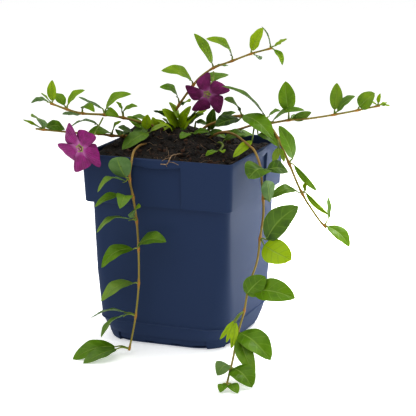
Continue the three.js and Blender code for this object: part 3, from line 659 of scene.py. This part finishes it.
def studio_white(graph):
    """Smooth pale card."""
    soft = graph.noise(60, 2)
    colour = graph.mix(soft, (0.88, 0.88, 0.88), (0.90, 0.90, 0.90))
    glow = {"Emission Color": (1, 1, 1, 1), "Emission Strength": 0.42}
    return graph.finish(colour, 0.75 + 0.05 * soft, constants=glow)


# ---- The pot and its soil --------------------------------------------------------------------------


def side_distance(x, half, corner):
    """How far out a rounded square's side is, x along from its middle."""
    over = max(0.0, abs(x) - (half - corner))
    return half - corner + math.sqrt(max(0.0, corner * corner - over * over))


def square_ring(half, corner, stations, bends, shape):
    """Points round a rounded square. shape(x, y) moves a point of one side in or out."""
    flat = half - corner
    last = stations[-1]
    straight = max(0.0, flat - last)
    first = math.asin(max(0.0, last - flat) / corner)
    length = straight + corner * (math.pi / 4 - first)
    eighth = [(x, side_distance(x, half, corner)) for x in stations]
    for bend in range(1, bends + 1):
        run = length * (1 - (1 - bend / bends) ** 2)
        angle = first + max(0.0, run - straight) / corner
        x = last + run if run < straight else flat + corner * math.sin(angle)
        eighth.append((x, flat + corner * math.cos(angle)))
    side = [(-x, y) for x, y in eighth[:0:-1]] + eighth[:-1]
    side = [shape(x, y) for x, y in side]
    ring = []
    for quarter in range(4):
        turn = Matrix.Rotation(-quarter * math.pi / 2, 3, "Z")
        ring.extend(turn @ Vector(point) for point in side)
    return ring


class PotSettings(bpy.types.PropertyGroup):
    """Finish of the pot's mould."""

    bends: bpy.props.IntProperty(name="Corner bends", description="Faces round half of each corner",
                                 default=10, min=4, max=20)
    strap_bow: bpy.props.FloatProperty(name="Strap bow", description="How far the label strap bows out, in mm",
                                       default=0.9, min=0.0, max=3.0)
    strap_dip: bpy.props.FloatProperty(name="Strap dip", description="How far the strap hangs in its middle, in mm",
                                       default=1.8, min=0.0, max=4.0)


class PERIWINKLE_OT_pot(bpy.types.Operator):
    """Build the square nursery pot with its collar, label panels, ridge and foot"""

    bl_idname = "periwinkle.pot"
    bl_label = "Pot"

    def execute(self, context):
        settings = context.scene.periwinkle_pot
        stations = [0, 3, 6, 6.5, 9.5, 12, 15.6, 16, 16.5, 20, 22.5, 25.5, 28.4, 29, 29.5]
        panel_back = RIM_HALF - PANEL_DEPTH

        def shaped(z, panel, strap, foot, slot):
            def shape(x, y):
                reach = abs(x)
                arch = math.cos(min(reach / PANEL_HALF, 1) * math.pi / 2)
                height = z
                if panel and reach <= PANEL_HALF:
                    y = min(y, panel)
                    height -= settings.strap_dip * arch * strap
                if strap and not panel:
                    y += settings.strap_bow * arch * strap
                    height -= settings.strap_dip * arch * (strap if z < POT_HEIGHT - 2 else 0.25)
                if foot and reach <= RECESS_HALF:
                    y -= foot
                if slot and min(abs(reach - 8), abs(reach - 24)) < 1.6:
                    y -= slot
                return x, y, height
            return shape

        # Each level: height, half width, corner radius, panel back, strap, foot recess, slot.
        levels = [
            (0, BASE_HALF - 1.4, 23, 0, 0, 2.4, 0), (0.5, BASE_HALF - 0.9, 23, 0, 0, 2.4, 0),
            (1, BASE_HALF - 0.7, 23, 0, 0, 2.4, 0), (1.1, BASE_HALF - 0.7, 23, 0, 0, 2.4, 6),
            (3.7, BASE_HALF, 22.6, 0, 0, 2.4, 6), (3.8, BASE_HALF, 22.6, 0, 0, 2.4, 0),
            (RECESS_HEIGHT, BASE_HALF + 0.1, 22.2, 0, 0, 2.4, 0),
            (RECESS_HEIGHT + 0.3, BASE_HALF + 0.1, 22.2, 0, 0, 0, 0),
            (9, BASE_HALF + 0.8, 19, 0, 0, 0, 0), (RIDGE_HEIGHT - 1, RIDGE_HALF - 0.8, 15.4, 0, 0, 0, 0),
            (RIDGE_HEIGHT - 0.5, RIDGE_HALF - 0.2, 15, 0, 0, 0, 0), (RIDGE_HEIGHT, RIDGE_HALF, 14.5, 0, 0, 0, 0),
            (RIDGE_HEIGHT + 0.7, RIDGE_HALF - 0.6, 14.2, 0, 0, 0, 0), (30, 44, 11.5, 0, 0, 0, 0),
            (45, 44.4, 9, 0, 0, 0, 0), (68, 44.8, 7.4, 0, 0, 0, 0), (88.6, 45, 6, 0, 0, 0, 0),
            (89.6, 45.2, 6, 0, 0, 0, 0), (COLLAR_FOOT, 45.8, 6, 0, 0, 0, 0),
            (COLLAR_FOOT + 0.05, 47.5, 3.8, panel_back, 0, 0, 0),
            (COLLAR_FOOT + 0.5, COLLAR_FOOT_HALF, 3.6, panel_back, 0, 0, 0),
            (COLLAR_FOOT + 1.2, COLLAR_FOOT_HALF + 0.05, 3.5, panel_back, 0, 0, 0),
            (100, 48.5, 3.4, panel_back, 0, 0, 0), (110, 48.9, 3.2, panel_back, 0, 0, 0),
            (115.5, 49.1, 3.1, panel_back, 1, 0, 0), (115.9, 49.1, 3.1, 0, 0.8, 0, 0),
            (116.3, 49.1, 3.1, 0, 1, 0, 0), (POT_HEIGHT - 0.7, RIM_HALF, 3, 0, 1, 0, 0),
            (POT_HEIGHT - 0.2, RIM_HALF - 0.1, 3, 0, 1, 0, 0), (POT_HEIGHT, RIM_HALF - 0.5, 2.8, 0, 0.8, 0, 0),
            (POT_HEIGHT, RIM_HALF - 1.1, 2.4, 0, 0, 0, 0), (POT_HEIGHT - 0.5, RIM_HALF - 1.6, 2.2, 0, 0, 0, 0),
            (115, 47.3, 2.4, panel_back - WALL, 0, 0, 0), (93, 46.5, 4, panel_back - WALL, 0, 0, 0),
            (91, BODY_TOP_HALF - WALL, 5, 0, 0, 0, 0), (45, 43, 8, 0, 0, 0, 0),
            (RIDGE_HEIGHT, RIDGE_HALF - WALL, 13, 0, 0, 0, 0), (FLOOR_THICKNESS, BASE_HALF - WALL, 22, 0, 0, 0, 0),
        ]
        rings = []
        for z, half, corner, panel, strap, foot, slot in levels:
            shape = shaped(z, panel, strap, foot, slot)
            rings.append(square_ring(half, corner, stations, settings.bends, shape))
        under = [Vector((0, 0, 0.6))] * len(rings[0])
        floor = [Vector((0, 0, FLOOR_THICKNESS))] * len(rings[0])
        bm = bmesh.new()
        skin(bm, [under, *rings, floor])
        new_piece("nursery_pot", bm, [shared(pot_plastic)], "pot", turned=False, crease=24)
        return {"FINISHED"}


def soil_height(x, y):
    """The top of the soil, which mounds up towards the crown at the back left."""
    mound = 5 * math.exp(-((x + 20) ** 2 + (y - 26) ** 2) / 900)
    return SOIL_LEVEL + 0.5 + (2 * y - 4.5 * x) / 44 + mound + 0.8 * math.sin(x / 5) * math.cos(y / 6)


class SoilSettings(bpy.types.PropertyGroup):
    """How rough the soil is."""

    relief: bpy.props.FloatProperty(name="Relief", description="Height of the lumps, in mm", default=2.1, min=0, max=4)
    crumbs: bpy.props.IntProperty(name="Crumbs", description="Loose crumbs and bark bits", default=620, min=0)
    fibres: bpy.props.IntProperty(name="Fibres", description="Fine loose fibres", default=90, min=0)


class PERIWINKLE_OT_soil(bpy.types.Operator):
    """Build the soil with its lumps, crumbs, bark bits and fibres"""

    bl_idname = "periwinkle.soil"
    bl_label = "Soil"

    def execute(self, context):
        settings = context.scene.periwinkle_soil
        rng = random.Random(4)
        bm = bmesh.new()
        tone, = marks(bm, "tone")

        def top(x, y):
            spot = Vector((x, y, 0))
            rough = noise.noise(spot / 7) + 0.6 * noise.noise(spot / 2.6) + 0.35 * noise.noise(spot / 1.1)
            return soil_height(x, y) + settings.relief * rough

        def outline(half, corner):
            return square_ring(half, corner, [*range(0, 30, 3), 29], 6, lambda x, y: (x, y, 0))

        def ring(half, corner, z):
            return [Vector((p.x, p.y, z)) for p in outline(half, corner)]

        flat = outline(44.6, 5)
        under = [Vector((0, 0, SOIL_FLOOR))] * len(flat)
        rows = [under, ring(BASE_HALF - 3, 20, SOIL_FLOOR), ring(42.4, 8, 45), ring(43, 5, 90), ring(44.2, 5, 108)]
        for step in range(SOIL_RINGS):
            share = 1 - step / SOIL_RINGS
            inner = [p * share for p in flat]
            rows.append([Vector((p.x, p.y, top(p.x, p.y))) for p in inner])
        rows.append([Vector((0, 0, top(0, 0)))] * len(flat))
        skin(bm, rows)
        for _ in range(settings.crumbs):
            x, y = rng.uniform(-43.5, 43.5), rng.uniform(-43.5, 43.5)
            size = 0.4 + 1.7 * rng.random() ** 3
            shade = rng.choice((0, 0, 0, 0.1, 0.3, 0.5, 0.6))
            for vertex in lump(bm, Vector((x, y, top(x, y) + 0.2 * size)), size, rng):
                vertex[tone] = shade
        for _ in range(settings.fibres):
            x, y = rng.uniform(-38, 38), rng.uniform(-38, 38)
            turn, length = rng.uniform(0, math.tau), rng.uniform(3, 9)
            points = []
            for step in range(4):
                reach = length * (step / 3 - 0.5)
                px, py = x + reach * math.cos(turn), y + reach * math.sin(turn) + rng.uniform(-1, 1)
                points.append(Vector((px, py, top(px, py) + rng.uniform(0.1, 1.0))))
            shade = rng.choice((0.4, 0.6, 0.9, 1.0))
            sweep(bm, smooth(points, 2), rng.uniform(0.1, 0.22), 4, lambda v, _, s=shade: v.__setitem__(tone, s))
        new_piece("soil_with_fibres", bm, [shared(soil_earth)], "potting_soil", turned=False, crease=60)
        return {"FINISHED"}


# ---- Stems and leaves ------------------------------------------------------------------------------


class LeafSettings(bpy.types.PropertyGroup):
    """Shape that all leaves share."""

    columns: bpy.props.IntProperty(name="Columns", description="Faces across a blade", default=10, min=4, max=20)
    rows: bpy.props.IntProperty(name="Rows", description="Faces along a blade", default=16, min=6, max=30)
    thickness: bpy.props.FloatProperty(name="Thickness", description="Blade thickness, in mm", default=0.42, min=0.1)
    petiole: bpy.props.FloatProperty(name="Petiole", description="Petiole radius, in mm", default=0.5, min=0.2)
    waviness: bpy.props.FloatProperty(name="Waviness", description="Waves of the margin, in mm", default=0.3, min=0)


def blade_width(along, blunt):
    """Share of the full width at a place along a blade."""
    pointed = math.sin(math.pi * along ** 0.9) ** 0.78
    rounded = math.sin(math.pi * along ** 0.95) ** 0.5
    return pointed + (rounded - pointed) * blunt


class LeafMaker:
    """Adds leaves to one mesh, with the numbers their material reads."""

    def __init__(self, bm, settings, seed):
        self.bm = bm
        self.settings = settings
        self.rng = random.Random(seed)
        self.across, self.along, self.tone, self.pale = marks(bm, "across", "along", "tone", "pale")
        self.under = bm.faces.layers.float.new("under")

    def leaf(self, node, leaf):
        """Add a petiole and its blade, which folds at the midrib, arches and waves."""
        settings, rng = self.settings, self.rng
        node = Vector(node)
        base, tip = node + 0.75 * Vector(leaf.petiole), node + Vector(leaf.tip)
        along = tip - base
        length = along.length
        forward = along.normalized()
        side = forward.cross(Vector((0, -1, 2))).normalized()
        side = Matrix.Rotation(math.radians(leaf.turn), 3, forward) @ side
        up = side.cross(forward)
        bow = length * rng.uniform(-0.05, 0.05)
        waves, phase = rng.uniform(5, 9), rng.uniform(0, math.tau)
        fold = math.tan(math.radians(leaf.fold + rng.uniform(-4, 4)))
        droop = rng.uniform(0.02, 0.09) * length

        def place(vertex, s, t, face):
            half = LEAF_FULLNESS * leaf.width / 2 * blade_width(t, leaf.blunt)
            twist = math.radians(leaf.twist * (t - 0.5))
            beside = side * math.cos(twist) + up * math.sin(twist)
            above = up * math.cos(twist) - side * math.sin(twist)
            rise = leaf.arch * math.sin(math.pi * t) - droop * t * t
            rise += fold * half * abs(s) ** 1.25 - 0.35 * fold * half * s * s
            rise += settings.waviness * math.sin(waves * t * 2 + phase + 2 * s) * s * s * math.sin(math.pi * t)
            body = settings.thickness / 2 * (1 - s * s) * min(1, 9 * t, 9 * (1 - t))
            groove = 0.16 * math.exp(-(s * half / 0.5) ** 2) * min(1, 6 * (1 - t))
            shift = face * body + (-groove if face > 0 else -1.4 * groove) * min(1, 9 * t)
            vertex.co = base + along * t + beside * (s * half + bow * math.sin(math.pi * t)) + above * (rise + shift)
            vertex[self.across], vertex[self.along] = s, t
            vertex[self.tone], vertex[self.pale] = leaf.tone, leaf.pale

        two_sided(self.bm, settings.columns, settings.rows, place, self.under)
        self.petiole(node, base, forward, length)

    def petiole(self, node, base, forward, length):
        before = len(self.bm.faces)
        reach = (base - node).length
        middle = node.lerp(base, 0.55) + 0.12 * reach * UP
        line = smooth([node, middle, base, base + forward * min(2.0, length * 0.12)], 3)
        radius = self.settings.petiole
        sweep(self.bm, line, lambda t: radius * (1.35 - 0.85 * t), 6)
        self.bm.faces.ensure_lookup_table()
        for face in self.bm.faces[before:]:
            face.material_index = 1


def add_stem(bm, route, radius, nodes, taper=0.35, green=0.0):
    """Add a round stem that swells at its leaf nodes and thins towards its tip."""
    line = smooth(route, 6)
    last = len(line) - 1
    knot, tint = bm.verts.layers.float["knot"], bm.verts.layers.float["green"]
    swell = []
    for point in line:
        nearest = min(((point - Vector(node)).length for node in nodes), default=99)
        swell.append(math.exp(-(nearest / 1.9) ** 2))

    def thickness(t):
        return radius * (1 - taper * t) * (1 + 0.55 * swell[round(t * last)])

    def mark(vertex, row):
        vertex[knot] = swell[row]
        vertex[tint] = green + 0.7 * row / last

    sweep(bm, line, thickness, 8, mark)


class PERIWINKLE_OT_runners(bpy.types.Operator):
    """Build the long stems that arch and trail out of the pot"""

    bl_idname = "periwinkle.runners"
    bl_label = "Stems"

    def execute(self, context):
        for name, runner in RUNNERS.items():
            bm = bmesh.new()
            marks(bm, "knot", "green")
            nodes = [node for node, _ in runner["sets"].values()]
            add_stem(bm, runner["route"], runner["radius"], nodes)
            new_piece(f"stem_{name}", bm, [shared(stem_bark)], name, crease=80)
        return {"FINISHED"}


class PERIWINKLE_OT_leaves(bpy.types.Operator):
    """Build the leaf sets along the long stems"""

    bl_idname = "periwinkle.leaves"
    bl_label = "Leaves"

    def execute(self, context):
        settings = context.scene.periwinkle_leaf
        for runner in RUNNERS.values():
            for name, (node, leaves) in runner["sets"].items():
                bm = bmesh.new()
                maker = LeafMaker(bm, settings, name)
                for leaf in leaves:
                    maker.leaf(node, leaf)
                young = "shoot" in name
                skin_material = shared(young_leaf_green if young else leaf_green)
                new_piece(f"green_{name}", bm, [skin_material, shared(petiole_green)], name, crease=80)
        return {"FINISHED"}


class PERIWINKLE_OT_crown(bpy.types.Operator):
    """Build the short leafy shoots at the heart of the plant"""

    bl_idname = "periwinkle.crown"
    bl_label = "Crown"

    def execute(self, context):
        settings = context.scene.periwinkle_leaf
        for name, (stub, leaves) in CROWN_SHOOTS.items():
            bm = bmesh.new()
            maker = LeafMaker(bm, settings, name)
            sweep(bm, smooth(stub, 4), 0.8, 8)
            for face in bm.faces:
                face.material_index = 1
            for leaf in leaves:
                maker.leaf(stub[-1], leaf)
            skins = [shared(young_leaf_green), shared(petiole_green)]
            new_piece(f"leafy_{name}", bm, skins, name, crease=80)
        bm = bmesh.new()
        maker = LeafMaker(bm, settings, "heart")
        for node, leaf in CROWN_LEAVES:
            maker.leaf(node, leaf)
        heart = new_piece("leaves_of_the_heart", bm, skins, crease=80, stands=True)
        return {"FINISHED"}


# ---- Flowers and roots -----------------------------------------------------------------------------


class FlowerSettings(bpy.types.PropertyGroup):
    """Shape of the five-lobed flowers."""

    size: bpy.props.FloatProperty(name="Size", description="Scale of the lobes", default=1.0, min=0.5, max=1.5)
    skew: bpy.props.FloatProperty(name="Skew", description="How oblique the lobes end", default=0.22, min=-1, max=1)
    lift: bpy.props.FloatProperty(name="Overlap", description="How far one edge stands up, in mm", default=0.9, min=0)


class PERIWINKLE_OT_flowers(bpy.types.Operator):
    """Build the flowers, each with its stalk, calyx, tube and pinwheel of lobes"""

    bl_idname = "periwinkle.flowers"
    bl_label = "Flowers"

    def execute(self, context):
        settings = context.scene.periwinkle_flower
        for name, flower in FLOWERS.items():
            centre, facing = Vector(flower["centre"]), Vector(flower["facing"]).normalized()
            right = UP.cross(facing).normalized()
            foot = Vector(flower["stalk"][-1])
            self.corolla(name, flower, settings, centre, facing, right, foot)
            self.calyx(name, flower, centre, foot)
        return {"FINISHED"}

    def corolla(self, name, flower, settings, centre, facing, right, foot):
        bm = bmesh.new()
        across, along = marks(bm, "across", "along")
        rng = random.Random(name)
        for lobe in range(5):
            turn = Matrix.Rotation(math.tau * lobe / 5 + math.radians(flower["spin"]), 3, facing)
            out = turn @ right
            beside = out.cross(facing)
            size = rng.uniform(0.95, 1.04)
            curl = rng.uniform(1.2, 2.6)

            def place(vertex, s, t, face):
                end = 1 + settings.skew * s - 0.1 * s ** 4
                reach = 1.1 + size * settings.size * flower["length"] * t * end
                half = settings.size * flower["width"] / 2 * (0.20 + 0.80 * t ** 0.6) * (1 - 0.14 * t ** 8)
                rise = 1.6 * t - curl * t * t + settings.lift * s * t + 0.25 * math.sin(7 * s + lobe) * t
                body = 0.16 * (1 - s * s) * min(1, 8 * t, 8 * (1 - t))
                vertex.co = centre + out * reach + beside * (s * half) + facing * (rise + face * body)
                vertex[across], vertex[along] = s, t

            two_sided(bm, 10, 12, place)
        tube = smooth([foot.lerp(centre, 0.15), foot.lerp(centre, 0.6), centre, centre + 0.5 * facing], 4)

        def mark(vertex, row):
            vertex[along] = 0.5 - 0.4 * row / 12

        sweep(bm, tube, lambda t: 0.9 + 0.9 * t ** 2, 10, mark)
        before = len(bm.faces)
        for step in range(6):
            angle = math.tau * step / 5
            offset = 0.0 if step == 5 else 0.9
            spot = centre + facing * (0.9 + 0.2 * (step == 5))
            spot += offset * (Matrix.Rotation(angle, 3, facing) @ right)
            lump(bm, spot, 0.55 if step < 5 else 0.6, rng, 1.0)
        bm.faces.ensure_lookup_table()
        for face in bm.faces[before:]:
            face.material_index = 1
        petal = shared(magenta_petal if name == "left" else wine_petal)
        new_piece(f"flower_{name}", bm, [petal, shared(flower_heart)], f"corolla_{name}", crease=80)

    def calyx(self, name, flower, centre, foot):
        bm = bmesh.new()
        sweep(bm, smooth(flower["stalk"], 5), lambda t: 0.5 + 0.25 * t ** 4, 8)
        forward = (centre - foot).normalized()
        side = forward.orthogonal()
        sweep(bm, [foot - 0.6 * forward, foot, foot + 1.4 * forward], 1.15, 8)
        for sepal in range(5):
            out = Matrix.Rotation(math.tau * sepal / 5, 3, forward) @ side
            start = foot + 0.8 * out
            line = smooth([start, start + 2 * forward + 0.7 * out, start + 4.4 * forward + 0.9 * out], 4)
            sweep(bm, line, lambda t: 0.12 + 0.5 * math.sin(math.pi * (0.25 + 0.72 * t)), 6)
        new_piece(f"stalk_{name}", bm, [shared(petiole_green)], f"calyx_and_stalk_{name}", crease=80)


class RootSettings(bpy.types.PropertyGroup):
    """The bare root."""

    radius: bpy.props.FloatProperty(name="Radius", description="Root radius, in mm", default=0.5, min=0.2)


class PERIWINKLE_OT_root(bpy.types.Operator):
    """Build the pale root that has grown over the soil to the rim"""

    bl_idname = "periwinkle.root"
    bl_label = "Root"

    def execute(self, context):
        radius = context.scene.periwinkle_root.radius
        rng = random.Random(8)
        noise.seed_set(8)  # noise_vector takes its offsets from this seed
        bm = bmesh.new()
        line = smooth(ROOT_ROUTE, 6)
        line = [p + 0.25 * noise.noise_vector(p / 4) for p in line]
        sweep(bm, line, lambda t: radius * (1.1 - 0.5 * t), 8)
        for share in (0.35, 0.5, 0.62, 0.75, 0.9):
            start = line[round(share * (len(line) - 1))]
            offset = Vector((rng.uniform(-6, 6), rng.uniform(-3, 3), -1.5))
            sweep(bm, smooth([start, start + 0.5 * offset + Vector((0, 0, 0.6)), start + offset], 3), 0.2, 5)
        new_piece("bare_root", bm, [shared(root_skin)], "root_over_rim", crease=80)
        return {"FINISHED"}


# ---- The studio ------------------------------------------------------------------------------------

CAMERA_PLACE = (0.3812, -0.9591, 0.3211)
CAMERA_TURN = (76.81, 0, 20.87)  # degrees
FLOOR_REACH = 3000
FLOOR_DROP = 0.05
VIEW_GAMMA = 0.78


class StudioSettings(bpy.types.PropertyGroup):
    """Camera and lights."""

    lens: bpy.props.FloatProperty(name="Lens", description="Focal length, in mm", default=144.35, min=10)
    key: bpy.props.FloatProperty(name="Key light", description="Power of the overhead light, in watts", default=5.0)
    side: bpy.props.FloatProperty(name="Side light", description="Power of the right light, in watts", default=2.5)
    floor_glow: bpy.props.FloatProperty(name="Floor light", default=4.0,
                                        description="Power of the light on the floor behind, in watts")
    fill: bpy.props.FloatProperty(name="Surroundings", description="Brightness all round", default=0.62)


class PERIWINKLE_OT_studio(bpy.types.Operator):
    """Set up the pale floor and backdrop, the soft lights and the camera"""

    bl_idname = "periwinkle.studio"
    bl_label = "Studio"

    def execute(self, context):
        settings = context.scene.periwinkle_studio
        scene = context.scene
        bm = bmesh.new()
        bmesh.ops.create_grid(bm, x_segments=4, y_segments=4, size=FLOOR_REACH)
        bmesh.ops.translate(bm, vec=(0, 0, -FLOOR_DROP), verts=bm.verts)
        new_piece("floor", bm, [shared(studio_white)])
        target = Matrix.Rotation(PLANT_TURN, 3, "Z") @ Vector((14.55, 0, 79.2)) * MM
        lights = (
            ("overhead_light", (-0.2, -0.35, 0.95), 1.1, settings.key, target, math.pi),
            ("right_light", (0.9, 0.15, 0.35), 0.9, settings.side, target, math.pi),
            ("floor_light", (0.20, 0.37, 0.38), 0.4, settings.floor_glow, Vector((0.18, 0.33, 0)), math.radians(80)),
        )
        for name, where, size, power, aim, spread in lights:
            data = bpy.data.lights.new(name, "AREA")
            data.size = size
            data.energy = power
            light = bpy.data.objects.new(name, data)
            light.location = where
            light.visible_camera = False
            data.spread = spread
            light.rotation_euler = (aim - Vector(where)).to_track_quat("-Z", "Y").to_euler()
            scene.collection.objects.link(light)
        world = bpy.data.worlds.new("studio_air")
        world.use_nodes = True
        world.node_tree.nodes["Background"].inputs["Color"].default_value = (1, 1, 1, 1)
        world.node_tree.nodes["Background"].inputs["Strength"].default_value = settings.fill
        scene.world = world
        camera_data = bpy.data.cameras.new("camera")
        camera_data.lens = settings.lens
        camera_data.sensor_width = 36
        camera_data.clip_end = 20
        camera = bpy.data.objects.new("camera", camera_data)
        camera.location = CAMERA_PLACE
        camera.rotation_euler = [math.radians(angle) for angle in CAMERA_TURN]
        scene.collection.objects.link(camera)
        scene.camera = camera
        scene.view_settings.view_transform = "Standard"
        scene.view_settings.gamma = VIEW_GAMMA
        return {"FINISHED"}


class PERIWINKLE_PT_panel(bpy.types.Panel):
    """The sidebar panel with one button for each step"""

    bl_idname = "PERIWINKLE_PT_panel"
    bl_label = "Potted Periwinkle"
    bl_space_type = "VIEW_3D"
    bl_region_type = "UI"
    bl_category = "Periwinkle"

    def draw(self, context):
        for group, operator in STEPS:
            self.layout.operator(operator.bl_idname)
            if group:
                settings = getattr(context.scene, group)
                for key in settings.bl_rna.properties.keys():
                    if key not in {"rna_type", "name"}:
                        self.layout.prop(settings, key)


STEPS = [
    ("periwinkle_pot", PERIWINKLE_OT_pot),
    ("periwinkle_soil", PERIWINKLE_OT_soil),
    (None, PERIWINKLE_OT_runners),
    ("periwinkle_leaf", PERIWINKLE_OT_leaves),
    (None, PERIWINKLE_OT_crown),
    ("periwinkle_flower", PERIWINKLE_OT_flowers),
    ("periwinkle_root", PERIWINKLE_OT_root),
    ("periwinkle_studio", PERIWINKLE_OT_studio),
]
GROUPS = {
    "periwinkle_pot": PotSettings, "periwinkle_soil": SoilSettings, "periwinkle_leaf": LeafSettings,
    "periwinkle_flower": FlowerSettings, "periwinkle_root": RootSettings, "periwinkle_studio": StudioSettings,
}
CLASSES = [*GROUPS.values(), *(operator for _, operator in STEPS), PERIWINKLE_PT_panel]


def register():
    for cls in CLASSES:
        bpy.utils.register_class(cls)
    for name, group in GROUPS.items():
        setattr(bpy.types.Scene, name, bpy.props.PointerProperty(type=group))


def unregister():
    for name in GROUPS:
        delattr(bpy.types.Scene, name)
    for cls in reversed(CLASSES):
        bpy.utils.unregister_class(cls)


def main():
    register()
    for _, operator in STEPS:
        group, name = operator.bl_idname.split(".")
        getattr(getattr(bpy.ops, group), name)()


if __name__ == "__main__":
    main()
